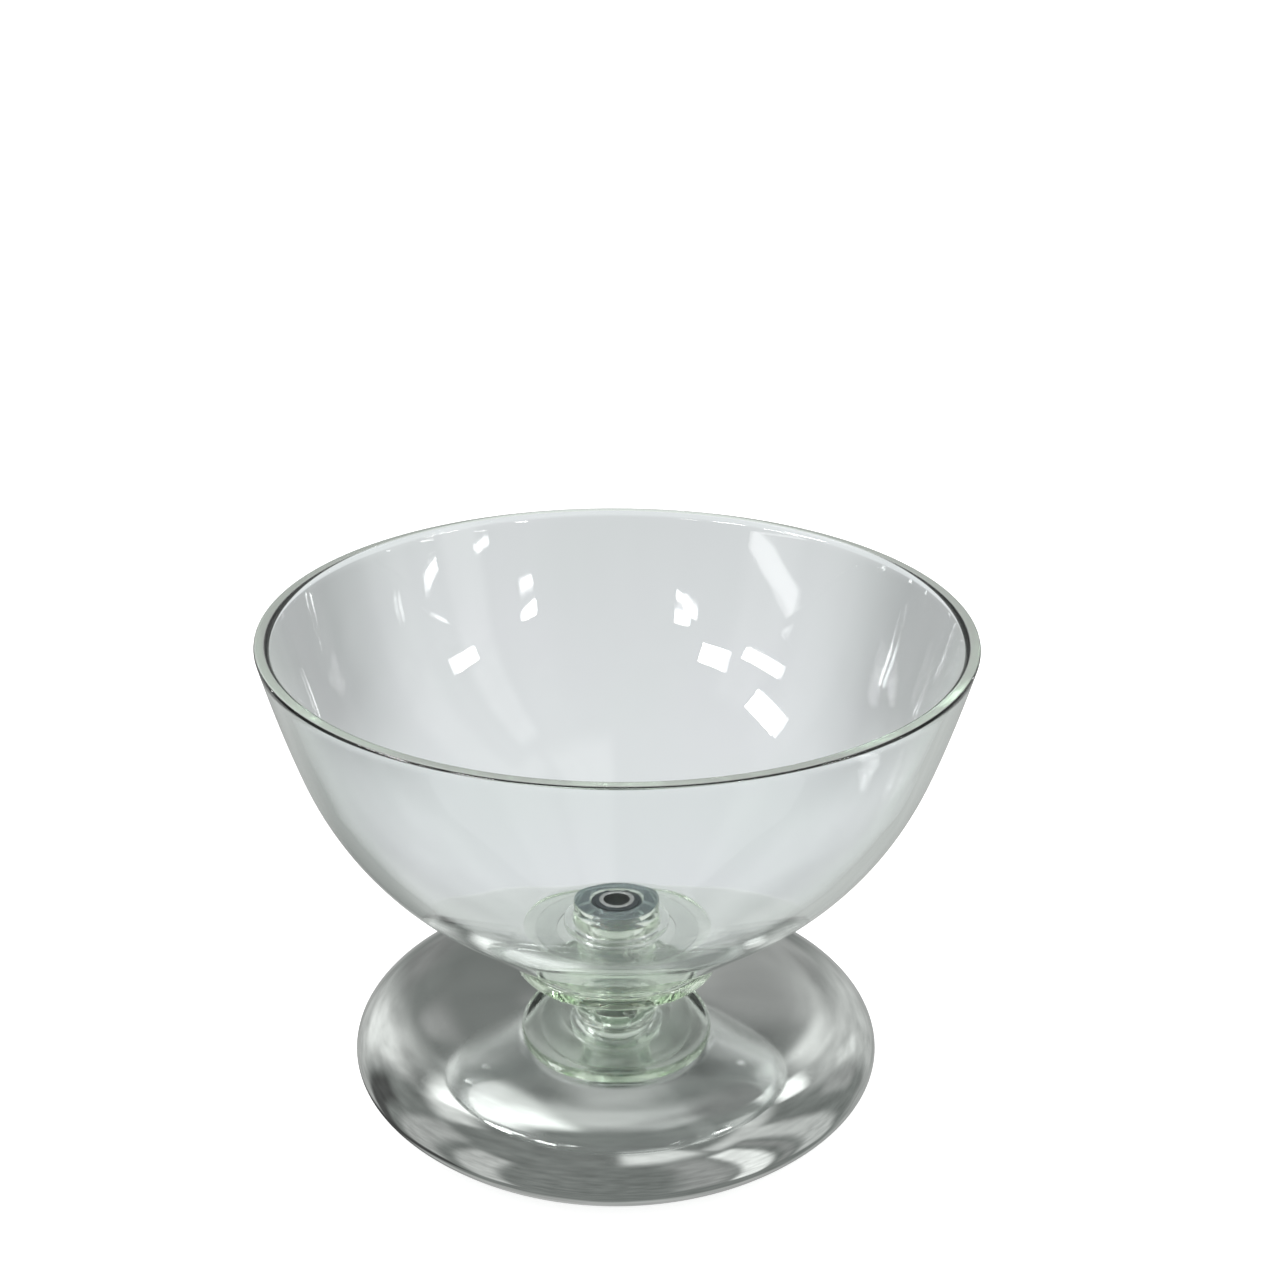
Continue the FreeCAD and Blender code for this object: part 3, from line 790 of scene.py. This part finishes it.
def room_colour(tree, coordinates, azimuth, elevation):
    """The grey room with its patches, mottled."""
    room = ROOM_GREY
    for row in ROOM_PATCHES:
        colour = tuple(part * row[-1] for part in PATCH_TINT)
        room = mixed_colour(tree, patch_mask(tree, azimuth, elevation, row), room, colour)
    mottle = ranged(tree, noise_at(tree, coordinates, *MOTTLE_NOISE), *MOTTLE_RANGE, *ROOM_MOTTLE)
    scaled = tree.nodes.new("ShaderNodeVectorMath")
    scaled.operation = "SCALE"
    tree.links.new(room, scaled.inputs[0])
    tree.links.new(mottle, scaled.inputs["Scale"])
    return scaled.outputs[0]


def backdrop_colour(tree, azimuth, elevation):
    """The pale backdrop behind the clear pieces."""
    distance = ranged(tree, elevation, *BACKDROP_STEP, 0.0, 1.0)
    pale = mixed_colour(tree, distance, PALE_NEAR, PALE_FAR)
    for row in DRAPES:
        drape = tuple(part * row[-1] for part in PALE_FAR)
        pale = mixed_colour(tree, patch_mask(tree, azimuth, elevation, row), pale, drape)
    return pale


def make_world():
    """White behind the object and as its light, a grey room in its reflections."""
    world = bpy.data.worlds.new("studio")
    bpy.context.scene.world = world
    world.use_nodes = True
    tree = world.node_tree
    tree.nodes.clear()
    output = tree.nodes.new("ShaderNodeOutputWorld")
    coordinates = tree.nodes.new("ShaderNodeTexCoord").outputs["Generated"]
    axes = tree.nodes.new("ShaderNodeSeparateXYZ")
    tree.links.new(coordinates, axes.inputs["Vector"])
    to_front = calculated(tree, "MULTIPLY", axes.outputs["Y"], -1.0)
    azimuth = calculated(tree, "DEGREES", calculated(tree, "ARCTAN2", axes.outputs["X"], to_front))
    elevation = calculated(tree, "DEGREES", calculated(tree, "ARCSINE", axes.outputs["Z"]))
    room = room_colour(tree, coordinates, azimuth, elevation)
    backdrop = backdrop_colour(tree, azimuth, elevation)

    path = tree.nodes.new("ShaderNodeLightPath")
    bounced = path.outputs["Glossy Depth"]
    crossed = path.outputs["Transmission Depth"]
    pale = mixed_colour(tree, ranged(tree, crossed, *PALE_STEP, 0.0, 1.0), PALE_INSIDE, PALE_DEEP)
    low = ranged(tree, elevation, *LOW_STEP, 1.0, 0.0)
    to_side = calculated(tree, "ABSOLUTE", azimuth)
    astern = ranged(tree, to_side, *ASTERN_STEP, 0.0, PALE_SHARE[1])
    low_astern = calculated(tree, "MULTIPLY", low, astern)
    by_bounces = ranged(tree, bounced, *SHARE_BOUNCES, *PALE_SHARE)
    by_crossings = ranged(tree, crossed, *SHARE_CROSSINGS, *PALE_SHARE)
    deep = calculated(tree, "MINIMUM", by_bounces, by_crossings)
    share = calculated(tree, "MAXIMUM", deep, low_astern)
    turned = mixed_colour(tree, share, room, pale)
    has_turned = calculated(tree, "GREATER_THAN", bounced, NONE_TO_ONE)
    behind = mixed_colour(tree, has_turned, backdrop, turned)

    once = calculated(tree, "LESS_THAN", bounced, ONE_TO_TWO)
    through = calculated(tree, "GREATER_THAN", crossed, NONE_TO_ONE)
    by_chrome = calculated(tree, "MULTIPLY", once, through)
    chrome_share = calculated(tree, "MULTIPLY", by_chrome, CHROME_SHARE)
    mirrored = mixed_colour(tree, chrome_share, room, PALE_CHROME)

    by_transmission = path.outputs["Is Transmission Ray"]
    seen = chosen(tree, by_transmission, background(tree, mirrored), background(tree, behind))
    direct = calculated(tree, "MAXIMUM", path.outputs["Is Camera Ray"], path.outputs["Is Diffuse Ray"])
    seen = chosen(tree, direct, seen, background(tree, WHITE))
    tree.links.new(seen, output.inputs["Surface"])


# ---------------------------------------------------------------- lamps
# Window and lamp panes that only the clear pieces show, as highlights: azimuth, elevation, width
# and height in degrees, brightness.
LAMP_DISTANCE = 2.3
LAMP_AIM = Vector((0, 0, 150 * MM))
LAMPS = [
    # front left
    (-25.6, 15.4, 5.0, 0.5, 26),
    (-29.4, 15.7, 5.0, 0.7, 24),
    (-26.1, 17.5, 6.0, 2.5, 24),
    (-42.6, 27.0, 11.0, 7.0, 28),
    (-64.0, 22.0, 17.0, 4.0, 26),
    (-77.0, 34.0, 16.0, 7.0, 28),
    # front right
    (35.4, 13.9, 4.5, 0.8, 24),
    (35.7, 15.6, 5.5, 1.0, 24),
    (50.4, 10.0, 5.0, 0.5, 14),
    (71.8, 8.2, 5.0, 0.8, 12),
    (66.8, 20.2, 11.0, 5.0, 26),
    # small ones to the sides and behind, and one wide faint one
    (131.5, -5.2, 1.2, 1.0, 26),
    (88.0, 6.0, 1.5, 1.2, 6),
    (-59.7, 9.9, 22.0, 1.5, 3),
    (-121.0, -0.8, 1.6, 1.6, 20),
    (-129.0, -5.0, 1.0, 1.0, 14),
    (-104.0, 0.0, 1.6, 1.6, 9),
    (-150.0, -11.0, 1.4, 1.6, 6),
    (153.0, -11.5, 1.2, 1.6, 4),
]


def direction(azimuth, elevation):
    """The unit vector towards an azimuth and an elevation in degrees."""
    a, e = math.radians(azimuth), math.radians(elevation)
    return Vector((math.sin(a) * math.cos(e), -math.cos(a) * math.cos(e), math.sin(e)))


def make_lamp(number, clear_pieces, azimuth, elevation, width, height, brightness):
    light = bpy.data.lights.new("lamp_%d" % number, "AREA")
    light.shape = "RECTANGLE"
    light.size = 2 * LAMP_DISTANCE * math.tan(math.radians(width) / 2)
    light.size_y = 2 * LAMP_DISTANCE * math.tan(math.radians(height) / 2)
    light.energy = brightness * math.pi * light.size * light.size_y
    lamp = bpy.data.objects.new(light.name, light)
    lamp.location = LAMP_AIM + direction(azimuth, elevation) * LAMP_DISTANCE
    lamp.rotation_euler = (LAMP_AIM - lamp.location).to_track_quat("-Z", "Y").to_euler()
    lamp.light_linking.receiver_collection = clear_pieces
    bpy.context.scene.collection.objects.link(lamp)


def make_clear_collection():
    """The acrylic pieces, which are all that the small lamps light."""
    clear_pieces = bpy.data.collections.new("clear_pieces")
    for piece in bpy.context.scene.objects:
        if piece.type == "MESH" and any("acrylic" in m.name for m in piece.data.materials if m):
            clear_pieces.objects.link(piece)
    return clear_pieces


# ---------------------------------------------------------------- camera
CAMERA_PLACE = Vector((0, -0.780, 0.541))
CAMERA_PITCH = 22.7           # degrees below level
CAMERA_YAW = 0.69             # degrees to the right
CAMERA_ROLL = 0.50            # degrees; the object leans to the right in the frame
CAMERA_LENS = 55.97           # millimetres, as is the sensor's width
CAMERA_SENSOR = 36.0
CAMERA_NEAR = 0.01

# Light that turns about inside the clear pieces needs many bounces before it gets out.
MAX_BOUNCES = 32
GLOSSY_BOUNCES = 20
TRANSMISSION_BOUNCES = 28


def make_camera():
    data = bpy.data.cameras.new("camera")
    data.sensor_width = CAMERA_SENSOR
    data.lens = CAMERA_LENS
    data.clip_start = CAMERA_NEAR
    camera = bpy.data.objects.new("camera", data)
    camera.location = CAMERA_PLACE
    forward = direction(180.0 - CAMERA_YAW, -CAMERA_PITCH)
    level = forward.cross(Vector((0, 0, 1))).normalized()
    upward = level.cross(forward)
    roll = math.radians(CAMERA_ROLL)
    right = level * math.cos(roll) + upward * math.sin(roll)
    top = upward * math.cos(roll) - level * math.sin(roll)
    camera.rotation_euler = Matrix((right, top, -forward)).transposed().to_euler()
    bpy.context.scene.collection.objects.link(camera)
    bpy.context.scene.camera = camera


make_floor()
make_world()
lit_by_lamps = make_clear_collection()
for lamp_number, lamp_row in enumerate(LAMPS):
    make_lamp(lamp_number, lit_by_lamps, *lamp_row)
make_camera()
bpy.context.scene.view_settings.view_transform = "Standard"
bpy.context.scene.cycles.max_bounces = MAX_BOUNCES
bpy.context.scene.cycles.glossy_bounces = GLOSSY_BOUNCES
bpy.context.scene.cycles.transmission_bounces = TRANSMISSION_BOUNCES
